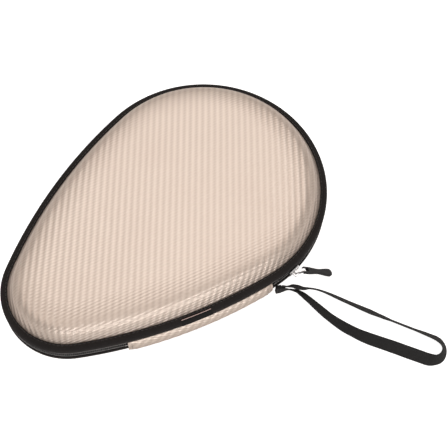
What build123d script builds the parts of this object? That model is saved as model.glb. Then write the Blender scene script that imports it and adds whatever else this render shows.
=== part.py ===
"""Zipped hard case for one table-tennis paddle, with a wrist strap.

The case lies on its back. +X runs along it towards the round head, +Z is up, and the
origin is the middle of the flat back face it rests on. Two moulded shells meet at the
zip's mid-plane and are hinged by a fabric spine on the -Y flank.
"""

from build123d import *
from math import acos, cos, degrees, hypot, pi, radians, sin, sqrt, tan
import os

os.makedirs("parts", exist_ok=True)

# ---- overall sizes, mm ----
case_length = 290.0
case_width = 200.0
case_thickness = 50.0
tail_radius = 52.5
flank_radius = 390.0
shoulder_radius = 14.0
wall_draft = 24.0               # degrees that the side walls lean in

# ---- layers of each half ----
skin = 0.6                      # embossed cover sheet
foam = 3.5                      # moulded foam shell
lining = 0.5
glue_gap = 0.1                  # between bonded layers
rim_width = 5.7                 # from the zip's outer line to the foot of the cover's wall
flange_height = 6.0             # underside of the flange, from the mid-plane
flange_thickness = 2.4
binding_edge = 4.5              # lower edge of the binding, from the mid-plane
binding_fabric = 0.8
binding_round = 2.2

# ---- zip ----
coil_gap = 0.55                 # from the mid-plane to each row of teeth
coil_height = 1.45
coil_depth = 2.0
tape_inset = 0.9
tape_fabric = 0.6
stop_length = 2.0
zip_end_gap = 0.3

# ---- slider, link and puller ----
slider_from_flank = 19.82       # along the head arc, from its end to the slider's middle
slider_length = 10.0
slider_low = 3.2                # reach below the mid-plane
slider_high = 2.4               # reach above it
slider_plate = 1.0
slider_clearance = 0.7          # between the teeth and each plate
lip_clearance = 0.4
post_thickness = 0.5
post_length = 2.0
bail_span = 6.0
bail_reach = 4.0
bail_wire = 1.1
bail_root = 0.3                 # how far the bail's feet are sunk in the plate
link_bar_radius = 0.6
link_length = 7.0
link_width = 2.2
link_height = 3.8
link_sheet = 0.6
axle_radius = 0.6
axle_clearance = 0.08
pull_direction = -25.0          # plan direction of link and puller, degrees from +X
pull_droop = 39.5               # degrees below level
pull_length = 29.5              # axle to the centre of the round end
pull_thickness = 3.0
prong_radius = 1.5
prong_width = 1.5
prong_gap = 0.35                # beside the link
neck_width = 4.2
tip_radius = 3.3

# ---- spine, label and strap ----
spine_length = 121.0
spine_start_gap = 2.4           # from the end of the head arc
spine_bulge = 3.2
spine_top = 4.3
spine_bottom = 11.0
spine_gap = 0.15                # between the spine and the binding it covers
spine_lining_gap = 0.3          # between the inner strip and each flange
hinge_offset = 2.0              # hinge line outside the zip's outer line
label_length = 25.0
label_from_head = 55.5          # along the flank, from the end of the head arc
label_thickness = 0.4
tack_from_flank = 2.89          # along the head arc, from its end to the tab's middle
tack_flare = 24.0               # degrees that the tab stands off the binding
tack_length = 4.6
tack_thickness = 3.8
tack_height = 9.6
tack_drop = 4.0                 # from the mid-plane to the tab's top
strap_lead = 7.0                # straight run out of the tab
strap_width = 10.0
strap_webbing = 1.0

# ---- elastic band that holds the handle ----
band_x = -50.0
band_width = 20.0
band_span = 62.0
band_rise = 13.0
band_fabric = 1.2
band_foot = 9.0

# ---- worked out from the sizes above ----
mid_height = case_thickness / 2
head_radius = case_width / 2
head_x = case_length / 2 - head_radius
tail_x = tail_radius - case_length / 2
centre_distance = head_x - tail_x
to_head = flank_radius - head_radius
to_tail = flank_radius - tail_radius
flank_x = head_x + (to_tail ** 2 - to_head ** 2 - centre_distance ** 2) / (2 * centre_distance)
flank_y = sqrt(to_head ** 2 - (flank_x - head_x) ** 2)
head_end = degrees(acos((head_x - flank_x) / to_head))
tail_start = degrees(acos((tail_x - flank_x) / to_tail))

brim_inset = tape_inset + tape_fabric + glue_gap
cover_height = mid_height
shell_inset = rim_width + skin + glue_gap
shell_height = mid_height - skin - glue_gap
lining_inset = shell_inset + foam + glue_gap
lining_height = shell_height - foam - glue_gap
cavity_inset = lining_inset + lining
cavity_height = lining_height - lining
flange_top = flange_height + flange_thickness
brim_foot = flange_top + glue_gap
brim_top = brim_foot + skin
binding_top = brim_top + glue_gap + binding_fabric
coil_top = coil_gap + coil_height


def polar(radius, angle, x=0.0, y=0.0):
    """Point at a radius and an angle in degrees from the centre (x, y)."""
    return (x + radius * cos(radians(angle)), y + radius * sin(radians(angle)))


def flank_degrees(length):
    """Angle that a length along the flank takes, in degrees."""
    return degrees(length / flank_radius)


spine_start = -head_end - flank_degrees(spine_start_gap)
spine_end = spine_start - flank_degrees(spine_length)
hinge_angle = (spine_start + spine_end) / 2
spine_lining_width = 2 * (flange_height - spine_lining_gap)
slider_angle = degrees(slider_from_flank / head_radius) - head_end
tack_angle = degrees(tack_from_flank / head_radius) - head_end


def draw_outline(inset, mode=Mode.ADD):
    """The case's outline, moved in by inset, in the sketch being drawn."""
    flank_sweep = tail_start - head_end
    with BuildLine() as outline:
        CenterArc((head_x, 0), head_radius - inset, -head_end, 2 * head_end)
        CenterArc((flank_x, -flank_y), flank_radius - inset, head_end, flank_sweep)
        CenterArc((tail_x, 0), tail_radius - inset, tail_start, 360 - 2 * tail_start)
        CenterArc((flank_x, flank_y), flank_radius - inset, -tail_start, flank_sweep)
    make_face(outline.edges(), mode=mode)


def draw_sector(centre, inner, outer, start, sweep, mode=Mode.ADD):
    """Part of a ring round a centre, in the sketch being drawn."""
    with BuildLine() as sector:
        inner_arc = CenterArc(centre, inner, start, sweep)
        outer_arc = CenterArc(centre, outer, start, sweep)
        Line(inner_arc @ 0, outer_arc @ 0)
        Line(inner_arc @ 1, outer_arc @ 1)
    make_face(sector.edges(), mode=mode)


def level(side, height):
    """Plane at a height from the mid-plane, above it for side 1 and below it for -1."""
    return Plane.XY.offset(mid_height + side * height)


def edges_at(side, height):
    """The edges of the part being built that lie flat at a height from the mid-plane."""
    place = mid_height + side * height
    return edges().filter_by_position(Axis.Z, place - glue_gap / 2, place + glue_gap / 2)


def dome(side, inset, foot, crown, shoulder):
    """A solid dome with a rounded shoulder, whose walls lean in from the brim's height."""
    slope = tan(radians(wall_draft))
    with BuildPart() as block:
        with BuildSketch(level(side, foot)):
            draw_outline(inset - (brim_foot - foot) * slope)
        with BuildSketch(level(side, crown)):
            draw_outline(inset + (crown - brim_foot) * slope)
        loft(ruled=True)
        fillet(edges_at(side, crown), shoulder)
    return block.part


def raise_rim(side, outer_inset, inner_inset, foot, top):
    """A flat ring that follows the outline, in the part being built."""
    with BuildSketch(level(side, foot)) as rim:
        draw_outline(outer_inset)
        draw_outline(inner_inset, mode=Mode.SUBTRACT)
    extrude(rim.sketch, amount=side * (top - foot))


def raise_zip_ring(side, outer_inset, depth, foot, top, end_gap):
    """A ring that follows the outline but stops short of the spine at both ends."""
    opening_start = spine_end - flank_degrees(end_gap)
    opening_sweep = spine_start + flank_degrees(end_gap) - opening_start
    with BuildSketch(level(side, foot)) as ring:
        draw_outline(outer_inset)
        draw_outline(outer_inset + depth, mode=Mode.SUBTRACT)
        draw_sector(
            (flank_x, flank_y), flank_radius - rim_width, flank_radius + rim_width,
            opening_start, opening_sweep, mode=Mode.SUBTRACT,
        )
    extrude(ring.sketch, amount=side * (top - foot))


def save(built, label):
    """Label a finished piece and write it to its own file."""
    built.part.label = label
    export_step(built.part, f"parts/{label}.step")


# ---- the two halves: the same layers above and below the mid-plane ----
for half, side in (("front", 1), ("back", -1)):

    # embossed cover: a dome with a brim that the binding holds down
    with BuildPart() as cover:
        add(dome(side, rim_width, brim_foot, cover_height, shoulder_radius))
        cover_hollow = dome(
            side, rim_width + skin, brim_foot, cover_height - skin, shoulder_radius - skin
        )
        add(cover_hollow, mode=Mode.SUBTRACT)
        raise_rim(side, brim_inset, rim_width + skin / 2, brim_foot, brim_top)
    save(cover, f"{half}_cover")

    # foam shell: a thicker dome with the stitched flange round its mouth
    with BuildPart() as shell:
        shell_shoulder = shoulder_radius - skin - glue_gap
        add(dome(side, shell_inset, flange_height, shell_height, shell_shoulder))
        shell_hollow = dome(
            side, shell_inset + foam, flange_height, shell_height - foam, shell_shoulder - foam
        )
        add(shell_hollow, mode=Mode.SUBTRACT)
        raise_rim(side, brim_inset, shell_inset + foam / 2, flange_height, flange_top)
    save(shell, f"{half}_shell")

    # fabric lining bonded inside the shell
    with BuildPart() as inner_lining:
        lining_shoulder = shoulder_radius - skin - foam - 2 * glue_gap
        add(dome(side, lining_inset, flange_height, lining_height, lining_shoulder))
        cavity = dome(
            side, cavity_inset, flange_height, cavity_height, lining_shoulder - lining
        )
        add(cavity, mode=Mode.SUBTRACT)
    save(inner_lining, f"{half}_lining")

    # binding: folded over the flange, with its outer corner rounded
    with BuildPart() as binding:
        raise_rim(side, 0, rim_width - glue_gap, binding_edge, binding_top)
        fillet(edges_at(side, binding_top).sort_by(SortBy.LENGTH)[-4:], binding_round)
        with BuildSketch(level(side, binding_edge)):
            draw_outline(binding_fabric)
        extrude(amount=side * (brim_top + glue_gap - binding_edge), mode=Mode.SUBTRACT)
    save(binding, f"{half}_binding")

    with BuildPart() as tape:
        raise_zip_ring(side, tape_inset, tape_fabric, coil_top, brim_top, zip_end_gap)
    save(tape, f"{half}_zip_tape")

    with BuildPart() as coil:
        coil_end = 2 * zip_end_gap + stop_length
        raise_zip_ring(side, 0, coil_depth, coil_gap, coil_top, coil_end)
    save(coil, f"{half}_zip_coil")

# ---- zip stops: one clamped on each end of the back teeth ----
with BuildPart() as zip_stops:
    stop_sweep = flank_degrees(stop_length)
    stop_gap = flank_degrees(zip_end_gap)
    with BuildSketch(level(-1, coil_gap)):
        for stop_start in (spine_start + stop_gap, spine_end - stop_gap - stop_sweep):
            draw_sector(
                (flank_x, flank_y), flank_radius - coil_depth, flank_radius, stop_start, stop_sweep
            )
    extrude(amount=-coil_height)
save(zip_stops, "zip_stops")

# ---- spine: the fabric hinge over the back binding, and its inner strip ----
spine_plane = Plane(
    origin=(flank_x, flank_y, mid_height),
    x_dir=(cos(radians(spine_start)), sin(radians(spine_start)), 0),
    z_dir=(sin(radians(spine_start)), -cos(radians(spine_start)), 0),
)
spine_axis = Axis((flank_x, flank_y, 0), (0, 0, 1))
spine_sweep = flank_degrees(spine_length)

with BuildPart() as spine_panel:
    with BuildSketch(spine_plane):
        with BuildLine():
            spine_inner = flank_radius + spine_gap
            spine_middle = (spine_top - spine_bottom) / 2
            ThreePointArc(
                (spine_inner, spine_top), (flank_radius + spine_bulge, spine_middle),
                (spine_inner, -spine_bottom),
            )
            Line((spine_inner, -spine_bottom), (spine_inner, spine_top))
        make_face()
    revolve(axis=spine_axis, revolution_arc=-spine_sweep)
save(spine_panel, "spine_panel")

with BuildPart() as spine_lining:
    with BuildSketch(level(-1, spine_lining_width / 2)):
        draw_sector(
            (flank_x, flank_y), flank_radius - brim_inset - lining, flank_radius - brim_inset,
            spine_start, -spine_sweep,
        )
    extrude(amount=spine_lining_width)
save(spine_lining, "spine_lining")

# ---- blank woven label on the front binding, over the spine ----
with BuildPart() as woven_label:
    label_start = -head_end - flank_degrees(label_from_head)
    label_inner = flank_radius + glue_gap
    with BuildSketch(level(1, binding_edge + glue_gap)):
        draw_sector(
            (flank_x, flank_y), label_inner, label_inner + label_thickness,
            label_start, -flank_degrees(label_length),
        )
    extrude(amount=binding_top - binding_round - binding_edge - glue_gap)
save(woven_label, "woven_label")

# ---- slider: two plates round the teeth, joined by a post between the rows ----
head_axis = Axis((head_x, 0, 0), (0, 0, 1))
slider_sweep = degrees(slider_length / head_radius)
slider_start = slider_angle - slider_sweep / 2
outer_plate_radius = head_radius + slider_clearance
inner_plate_radius = head_radius - coil_depth - slider_clearance
lip_height = slider_low - coil_top - lip_clearance

with BuildPart() as zip_slider:
    with BuildSketch(level(-1, slider_low)):
        draw_sector(
            (head_x, 0), outer_plate_radius, outer_plate_radius + slider_plate,
            slider_start, slider_sweep,
        )
        draw_sector(
            (head_x, 0), inner_plate_radius - slider_plate, inner_plate_radius,
            slider_start, slider_sweep,
        )
    extrude(amount=slider_low + slider_high)
    fillet(zip_slider.edges().filter_by(Axis.Z), slider_plate / 3)
    with BuildSketch(level(-1, slider_low)):
        lip_sweep = slider_sweep - degrees(2 * slider_plate / head_radius)
        draw_sector(
            (head_x, 0), head_radius - tape_inset + lip_clearance,
            outer_plate_radius + slider_plate / 2, slider_angle - lip_sweep / 2, lip_sweep,
        )
        draw_sector(
            (head_x, 0), inner_plate_radius - slider_plate / 2,
            head_radius - tape_inset - tape_fabric - lip_clearance,
            slider_angle - lip_sweep / 2, lip_sweep,
        )
    extrude(amount=lip_height)
    with BuildSketch(level(-1, post_thickness / 2)):
        post_sweep = degrees(post_length / head_radius)
        draw_sector(
            (head_x, 0), inner_plate_radius - slider_plate / 2,
            outer_plate_radius + slider_plate / 2, slider_angle - post_sweep / 2, post_sweep,
        )
    extrude(amount=post_thickness)
save(zip_slider, "zip_slider")

# ---- bail: the arch on the slider that the link hangs on ----
slider_face_radius = outer_plate_radius + slider_plate
bail_plane = Plane(
    origin=(*polar(slider_face_radius, slider_angle, head_x), mid_height),
    x_dir=(*polar(1, slider_angle), 0),
    z_dir=(0, 0, 1),
)
with BuildPart() as slider_bail:
    with BuildSketch(bail_plane.offset(-bail_wire / 2)):
        with Locations(((bail_reach - bail_root) / 2, 0)):
            Rectangle(bail_reach + bail_root, bail_span)
        with Locations(((bail_reach - bail_wire - bail_root) / 2, 0)):
            Rectangle(
                bail_reach - bail_wire + bail_root, bail_span - 2 * bail_wire, mode=Mode.SUBTRACT
            )
    extrude(amount=bail_wire)
    outer_corners = slider_bail.edges().filter_by(Axis.Z).sort_by(
        lambda edge: hypot(edge.center().X - head_x, edge.center().Y)
    )[-2:]
    fillet(outer_corners, bail_wire * 0.8)
save(slider_bail, "slider_bail")

# ---- link: a stamped loop through the bail, with the puller's axle on its end ----
link_axis_radius = slider_face_radius + (bail_reach - bail_wire) / 2
link_origin = (*polar(link_axis_radius, slider_angle, head_x), mid_height)
link_plane = Plane(origin=link_origin, x_dir=(*polar(1, pull_direction), 0), z_dir=(0, 0, 1))
axle_origin = link_plane.from_local_coords((link_length, 0, 0))
axle_plane = Plane(
    origin=axle_origin, x_dir=(*polar(1, pull_direction), 0), z_dir=link_plane.y_dir
)
axle_length = link_width + 2 * (prong_gap + prong_width)

with BuildPart() as pull_link:
    with BuildSketch(link_plane.offset(-link_height / 2)):
        Circle(link_bar_radius)
    extrude(amount=link_height)
    with BuildSketch(
        link_plane.offset(-link_height / 2), link_plane.offset(link_height / 2 - link_sheet)
    ):
        with Locations(((link_length - axle_radius) / 2, 0)):
            SlotOverall(link_length - axle_radius + link_width, link_width)
    extrude(amount=link_sheet)
    with BuildSketch(link_plane.offset(-link_height / 2)):
        with Locations((link_length - axle_radius, 0)):
            Rectangle(link_sheet * 2, link_width)
    extrude(amount=link_height)
    with BuildSketch(axle_plane.offset(-axle_length / 2)):
        Circle(axle_radius)
    extrude(amount=axle_length)
save(pull_link, "pull_link")

# ---- puller: a forked rubber grip with a waisted neck and a round end ----
droop = radians(pull_droop)
pull_forward = Vector(
    *(cos(droop) * part for part in polar(1, pull_direction)), -sin(droop)
)
pull_plane = Plane(
    origin=axle_origin, x_dir=link_plane.y_dir, z_dir=link_plane.y_dir.cross(pull_forward)
)
fork_width = axle_length
fork_depth = prong_radius + link_height / 2 + prong_gap

with BuildPart() as zip_pull:
    with BuildSketch(pull_plane.offset(-pull_thickness / 2)):
        with BuildLine():
            left = Line((-fork_width / 2, -prong_radius / 2), (-fork_width / 2, fork_depth))
            left_neck = Spline(
                left @ 1, (-neck_width / 2, pull_length * 0.55), (-tip_radius, pull_length),
                tangents=((0, 1), (0, 1)),
            )
            ThreePointArc(left_neck @ 1, (0, pull_length + tip_radius), (tip_radius, pull_length))
            right_neck = Spline(
                (tip_radius, pull_length), (neck_width / 2, pull_length * 0.55),
                (fork_width / 2, fork_depth), tangents=((0, -1), (0, -1)),
            )
            right = Line(right_neck @ 1, (fork_width / 2, -prong_radius / 2))
            Line(right @ 1, left @ 0)
        make_face()
    extrude(amount=pull_thickness)
    fillet(zip_pull.edges().filter_by(lambda edge: edge.geom_type != GeomType.LINE), 1.0)
    with BuildSketch(pull_plane.offset(-pull_thickness)):
        with Locations((0, (fork_depth - prong_radius) / 2)):
            Rectangle(link_width + 2 * prong_gap, fork_depth + prong_radius)
    extrude(amount=2 * pull_thickness, mode=Mode.SUBTRACT)
    with BuildSketch(axle_plane.offset(-fork_width)):
        Circle(axle_radius + axle_clearance)
    extrude(amount=2 * fork_width, mode=Mode.SUBTRACT)
save(zip_pull, "zip_pull")

# ---- strap tack: the stitched tab on the back binding that holds both strap ends ----
tack_reach = (
    tack_thickness / 2 * cos(radians(tack_flare)) + tack_length / 2 * sin(radians(tack_flare))
)
tack_centre = polar(head_radius + glue_gap + tack_reach, tack_angle, head_x)
tack_forward = Vector(*polar(1, tack_angle + 90 - tack_flare), 0)
tack_middle = Vector(*tack_centre, mid_height - tack_drop - tack_height / 2)
tack_face = Plane(
    origin=tack_middle + tack_forward * (tack_length / 2),
    x_dir=(*polar(1, tack_angle - tack_flare), 0), z_dir=tack_forward,
)
with BuildPart() as strap_tack:
    with BuildSketch(tack_face):
        Rectangle(tack_thickness, tack_height)
    extrude(amount=-tack_length)
save(strap_tack, "strap_tack")

# ---- wrist strap: one loop of webbing, as a round tube of the same section ----
strap_tube_radius = sqrt(strap_width * strap_webbing / pi)
strap_end_spacing = tack_height / 2 - strap_tube_radius - glue_gap
strap_start = tack_face.from_local_coords((0, -strap_end_spacing, 0))
strap_finish = tack_face.from_local_coords((0, strap_end_spacing, 0))
strap_route = [
    (47.2, -111.4, 15.0),
    (53.0, -115.4, 10.4),
    (59.4, -119.6, 7.2),
    (65.4, -128.0, 5.2),
    (71.2, -140.6, 4.2),
    (78.4, -157.0, 4.3),
    (86.4, -174.6, 4.0),
    (95.0, -192.4, 4.2),
    (101.4, -205.4, 4.0),
    (105.2, -214.2, 3.8),
    (103.2, -221.8, 3.2),
    (96.6, -225.4, 2.6),
    (89.2, -223.2, 2.2),
    (81.8, -208.6, 2.1),
    (71.8, -189.0, 2.2),
    (63.4, -173.6, 2.1),
    (57.2, -158.8, 2.3),
    (53.4, -144.6, 3.0),
    (51.2, -131.4, 4.6),
    (49.4, -121.2, 7.0),
    (46.6, -112.6, 10.0),
]
strap_points = [
    strap_start,
    strap_start + tack_forward * strap_lead,
    *(Vector(*point) for point in strap_route),
    strap_finish + tack_forward * strap_lead,
    strap_finish,
]


def corner_radii(points):
    """Largest arcs that the runs allow: 0.45 of the shorter run at each corner."""
    radii = []
    for before, corner, after in zip(points, points[1:], points[2:]):
        arriving = corner - before
        leaving = after - corner
        half_turn = radians(arriving.get_angle(leaving)) / 2
        radii.append(0.45 * min(arriving.length, leaving.length) / tan(half_turn))
    return radii


strap_radii = corner_radii(strap_points)
with BuildPart() as wrist_strap:
    with BuildLine() as strap_path:
        FilletPolyline(*strap_points, radius=strap_radii)
    with BuildSketch(tack_face.shift_origin(strap_start)):
        Circle(strap_tube_radius)
    sweep()
save(wrist_strap, "wrist_strap")

# ---- elastic band: an arch over the paddle's handle, sewn down at both feet ----
floor_height = mid_height - cavity_height
with BuildPart() as elastic_band:
    with BuildSketch(Plane.YZ.offset(band_x - band_width / 2)):
        with BuildLine():
            band_foot_height = floor_height + glue_gap
            outer_band = ThreePointArc(
                (-band_span / 2, band_foot_height), (0, floor_height + band_rise),
                (band_span / 2, band_foot_height),
            )
            inner_band = ThreePointArc(
                (-band_span / 2 + 2 * band_fabric, band_foot_height),
                (0, floor_height + band_rise - band_fabric),
                (band_span / 2 - 2 * band_fabric, band_foot_height),
            )
            Line(outer_band @ 0, inner_band @ 0)
            Line(outer_band @ 1, inner_band @ 1)
        make_face()
    extrude(amount=band_width)
save(elastic_band, "elastic_band")

with BuildPart() as band_tacks:
    foot_centre = (band_span + band_foot) / 2 + glue_gap
    with BuildSketch(Plane.XY.offset(floor_height + glue_gap)):
        with Locations((band_x, -foot_centre), (band_x, foot_centre)):
            Rectangle(band_width, band_foot)
    extrude(amount=band_fabric)
save(band_tacks, "band_tacks")

# ---- printed facts: hinge line, cord radii and the tube's volume ----
hinge_point = polar(flank_radius + hinge_offset, hinge_angle, flank_x, flank_y)
strap_length = strap_path.wires()[0].length
tube_volume = pi * strap_tube_radius ** 2 * strap_length
print("hinge line through", [round(value, 3) for value in hinge_point], "at", hinge_angle + 90)
print("head end", round(head_end, 3), "tail start", round(tail_start, 3))
print("link axis at", link_origin, "axle at", axle_origin)
print("strap length", round(strap_length, 1), "mm")
print("strap radii", [round(radius, 1) for radius in strap_radii])
print("strap volume", round(wrist_strap.part.volume, 1), "section x length", round(tube_volume, 1))
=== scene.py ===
"""Looks of the zipped paddle case: covers, bindings, zip, spine, strap and linings.

The case lies on its back, +X runs towards the round head and the spine is on the -Y flank.
"""

from math import acos, atan2, ceil, cos, degrees, pi, radians, sin, sqrt, tan

import bmesh
import bpy
from mathutils import Matrix, Vector
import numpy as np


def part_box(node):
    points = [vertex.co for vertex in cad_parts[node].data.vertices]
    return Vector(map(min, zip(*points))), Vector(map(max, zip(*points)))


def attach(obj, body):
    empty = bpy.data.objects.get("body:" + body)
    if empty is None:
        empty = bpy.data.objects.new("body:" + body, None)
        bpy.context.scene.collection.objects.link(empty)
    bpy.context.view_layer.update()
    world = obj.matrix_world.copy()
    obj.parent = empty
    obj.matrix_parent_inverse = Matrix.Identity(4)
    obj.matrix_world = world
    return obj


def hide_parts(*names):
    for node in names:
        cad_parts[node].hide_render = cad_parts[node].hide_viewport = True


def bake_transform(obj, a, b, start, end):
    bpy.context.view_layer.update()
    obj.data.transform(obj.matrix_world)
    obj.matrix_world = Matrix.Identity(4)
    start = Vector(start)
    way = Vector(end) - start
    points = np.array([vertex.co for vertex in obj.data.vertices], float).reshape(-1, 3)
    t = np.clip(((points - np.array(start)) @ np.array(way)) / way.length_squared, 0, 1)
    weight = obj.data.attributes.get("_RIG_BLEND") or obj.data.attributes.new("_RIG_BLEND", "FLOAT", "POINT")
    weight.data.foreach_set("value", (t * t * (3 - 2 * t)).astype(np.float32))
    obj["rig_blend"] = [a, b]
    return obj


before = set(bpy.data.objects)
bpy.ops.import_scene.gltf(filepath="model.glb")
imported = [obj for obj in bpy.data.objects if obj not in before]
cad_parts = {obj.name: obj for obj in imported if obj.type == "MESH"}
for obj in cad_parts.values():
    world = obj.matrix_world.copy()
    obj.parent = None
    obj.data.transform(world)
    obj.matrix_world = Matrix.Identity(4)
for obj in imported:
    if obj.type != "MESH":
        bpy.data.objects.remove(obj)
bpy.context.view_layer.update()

MM = 0.001

# ---- the case's outline: four arcs, the same as the frame's ----
rim_low, rim_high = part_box("front_binding")
case_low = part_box("back_cover")[0]
case_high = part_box("front_cover")[1]
mid_height = (case_low.z + case_high.z) / 2
head_radius = (rim_high.y - rim_low.y) / 2
tail_radius = 52.5 * MM
flank_radius = 390 * MM
head_x = rim_high.x - head_radius
tail_x = rim_low.x + tail_radius
to_head = flank_radius - head_radius
to_tail = flank_radius - tail_radius
centres_apart = head_x - tail_x
flank_x = head_x + (to_tail ** 2 - to_head ** 2 - centres_apart ** 2) / (2 * centres_apart)
flank_y = sqrt(to_head ** 2 - (flank_x - head_x) ** 2)
head_end = degrees(acos((head_x - flank_x) / to_head))
tail_start = degrees(acos((tail_x - flank_x) / to_tail))
HEAD_CENTRE = Vector((head_x, 0, 0))
TAIL_CENTRE = Vector((tail_x, 0, 0))
SPINE_CENTRE = Vector((flank_x, flank_y, 0))
FAR_CENTRE = Vector((flank_x, -flank_y, 0))

# ---- heights from the mid-plane and insets from the outline ----
foot_inset = 5.7 * MM
brim_foot = 8.5 * MM
brim_height = 9.1 * MM
cover_height = case_high.z - mid_height
shoulder = 14 * MM
draft = radians(24)
skin = 0.6 * MM
flat_inset = 44 * MM                # past here each face is flat
flange_height = 6.0 * MM

# ---- the spine and the hinge line that it bends about ----
hinge_offset = 2 * MM
spine_start = -head_end - degrees(2.4 * MM / flank_radius)
spine_length = 121 * MM
spine_end = spine_start - degrees(spine_length / flank_radius)
hinge_angle = (spine_start + spine_end) / 2
spine_top = 4.3 * MM
spine_foot = 11.0 * MM


def about(centre, radius, angle, height=0.0):
    """Point at a radius and an angle in degrees round a centre."""
    return Vector((
        centre.x + radius * cos(radians(angle)),
        centre.y + radius * sin(radians(angle)),
        height,
    ))


def outline_arcs(start, end):
    """Centre, radius and turn of each arc, from one place on the spine's flank round to another."""
    return [
        (SPINE_CENTRE, flank_radius, -head_end - start),
        (HEAD_CENTRE, head_radius, 2 * head_end),
        (FAR_CENTRE, flank_radius, tail_start - head_end),
        (TAIL_CENTRE, tail_radius, 360 - 2 * tail_start),
        (SPINE_CENTRE, flank_radius, end + tail_start),
    ]


def arc_beside(point):
    """Centre and radius of the outline's arc beside a point, and the angle there, on the +Y half."""
    x, y = point.x, abs(point.y)
    on_head = degrees(atan2(y, x - head_x))
    on_flank = degrees(atan2(y + flank_y, x - flank_x))
    if on_head <= head_end:
        return HEAD_CENTRE, head_radius, on_head
    if on_flank <= tail_start:
        return FAR_CENTRE, flank_radius, on_flank
    return TAIL_CENTRE, tail_radius, degrees(atan2(y, x - tail_x))


HEAD_LENGTH = head_radius * radians(head_end)
FLANK_LENGTH = flank_radius * radians(tail_start - head_end)


def length_to(point):
    """Length along the outline from the head's tip to beside a point, negative on the -Y half."""
    centre, radius, angle = arc_beside(point)
    if centre == HEAD_CENTRE:
        length = radius * radians(angle)
    elif centre == FAR_CENTRE:
        length = HEAD_LENGTH + radius * radians(angle - head_end)
    else:
        length = HEAD_LENGTH + FLANK_LENGTH + radius * radians(angle - tail_start)
    return -length if point.y < 0 else length


OUTLINE_LENGTH = 2 * (HEAD_LENGTH + FLANK_LENGTH + tail_radius * radians(180 - tail_start))


# ---------------------------------------------------------------- mesh helpers

def spin_profile(profile, arcs, start, side=1, closed=False, step=3 * MM):
    """A profile of (inset, height) points carried round the outline's arcs."""
    bm = bmesh.new()
    across = bm.verts.layers.float.new("across")
    centre, radius, _ = arcs[0]
    verts = []
    length = 0.0
    for index, (inset, height) in enumerate(profile):
        vert = bm.verts.new(about(centre, radius - inset, start, mid_height + side * height))
        if index:
            length += (vert.co - verts[-1].co).length
        vert[across] = length
        verts.append(vert)
    edges = [bm.edges.new(pair) for pair in zip(verts, verts[1:])]
    if closed:
        edges.append(bm.edges.new((verts[-1], verts[0])))
    first = list(edges)
    geom = verts + edges
    for centre, radius, turn in arcs:
        if abs(turn) < 0.001:
            continue
        made = bmesh.ops.spin(
            bm, geom=geom, cent=centre, axis=(0, 0, 1), dvec=(0, 0, 0), angle=radians(turn),
            steps=max(1, ceil(abs(radians(turn)) * radius / step)), use_merge=False,
            use_duplicate=False,
        )
        geom = made["geom_last"]
    last = [item for item in geom if isinstance(item, bmesh.types.BMEdge)]
    return bm, first, last


def full_ring(profile, side=1, closed=True):
    """A profile carried all the way round, with its seam under the spine."""
    bm, _, _ = spin_profile(profile, outline_arcs(hinge_angle, hinge_angle), hinge_angle, side, closed)
    bmesh.ops.remove_doubles(bm, verts=bm.verts, dist=1e-6)
    return bm


def open_ring(profile, start, end, side=1):
    """A closed profile carried round from one end of the spine to the other, with both ends capped."""
    bm, first, last = spin_profile(profile, outline_arcs(start, end), start, side, True)
    bmesh.ops.contextual_create(bm, geom=first)
    bmesh.ops.contextual_create(bm, geom=last)
    return bm


def flank_strip(profile, start, sweep, step=1.5 * MM, side=1):
    """A closed profile carried along the spine's flank, with both ends capped."""
    arcs = [(SPINE_CENTRE, flank_radius, sweep)]
    bm, first, last = spin_profile(profile, arcs, start, side, True, step)
    bmesh.ops.contextual_create(bm, geom=first)
    bmesh.ops.contextual_create(bm, geom=last)
    return bm


def lay_uv_round(bm):
    """UV in metres: along the outline, and across the profile."""
    uv = bm.loops.layers.uv.new("UVMap")
    across = bm.verts.layers.float["across"]
    for face in bm.faces:
        along = [length_to(loop.vert.co) for loop in face.loops]
        if max(along) - min(along) > OUTLINE_LENGTH / 2:
            along = [value + OUTLINE_LENGTH if value < 0 else value for value in along]
        for loop, value in zip(face.loops, along):
            loop[uv].uv = (value, loop.vert[across])


def set_sharp(bm, limit=38):
    """Smooth faces with crisp edges where two faces meet at more than the limit."""
    for face in bm.faces:
        face.smooth = True
    for edge in bm.edges:
        edge.smooth = edge.is_manifold and edge.calc_face_angle(0) < radians(limit)


def make_piece(bm, name, material):
    """The finished bmesh as an object at the origin."""
    bmesh.ops.remove_doubles(bm, verts=bm.verts, dist=1e-7)
    bmesh.ops.recalc_face_normals(bm, faces=bm.faces)
    set_sharp(bm)
    mesh = bpy.data.meshes.new(name)
    bm.to_mesh(mesh)
    bm.free()
    mesh.materials.append(material)
    piece = bpy.data.objects.new(name, mesh)
    bpy.context.scene.collection.objects.link(piece)
    return piece


def settle(piece, body, slot, *nodes):
    """Ride a piece on its body and hide the nodes that it stands for."""
    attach(piece, body)
    if nodes:
        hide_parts(*nodes)
    return piece


def add_thickness(piece, thickness, side):
    """Wall thickness under a sheet whose face looks up for side 1 and down for -1."""
    widest = max(piece.data.polygons, key=lambda face: face.area)
    if widest.normal.z * side < 0:
        piece.data.flip_normals()
    wall = piece.modifiers.new("wall", "SOLIDIFY")
    wall.thickness = thickness
    wall.offset = -1
    wall.use_even_offset = True


def add_stitch(bm, middle, along, length, thread):
    """One stitch: a small rounded bar that lies along a direction."""
    turn = along.to_track_quat("Z", "Y").to_matrix().to_4x4()
    size = Matrix.Diagonal((thread, thread, length / 2, 1))
    bmesh.ops.create_uvsphere(
        bm, u_segments=6, v_segments=5, radius=1, matrix=Matrix.Translation(middle) @ turn @ size
    )


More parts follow.
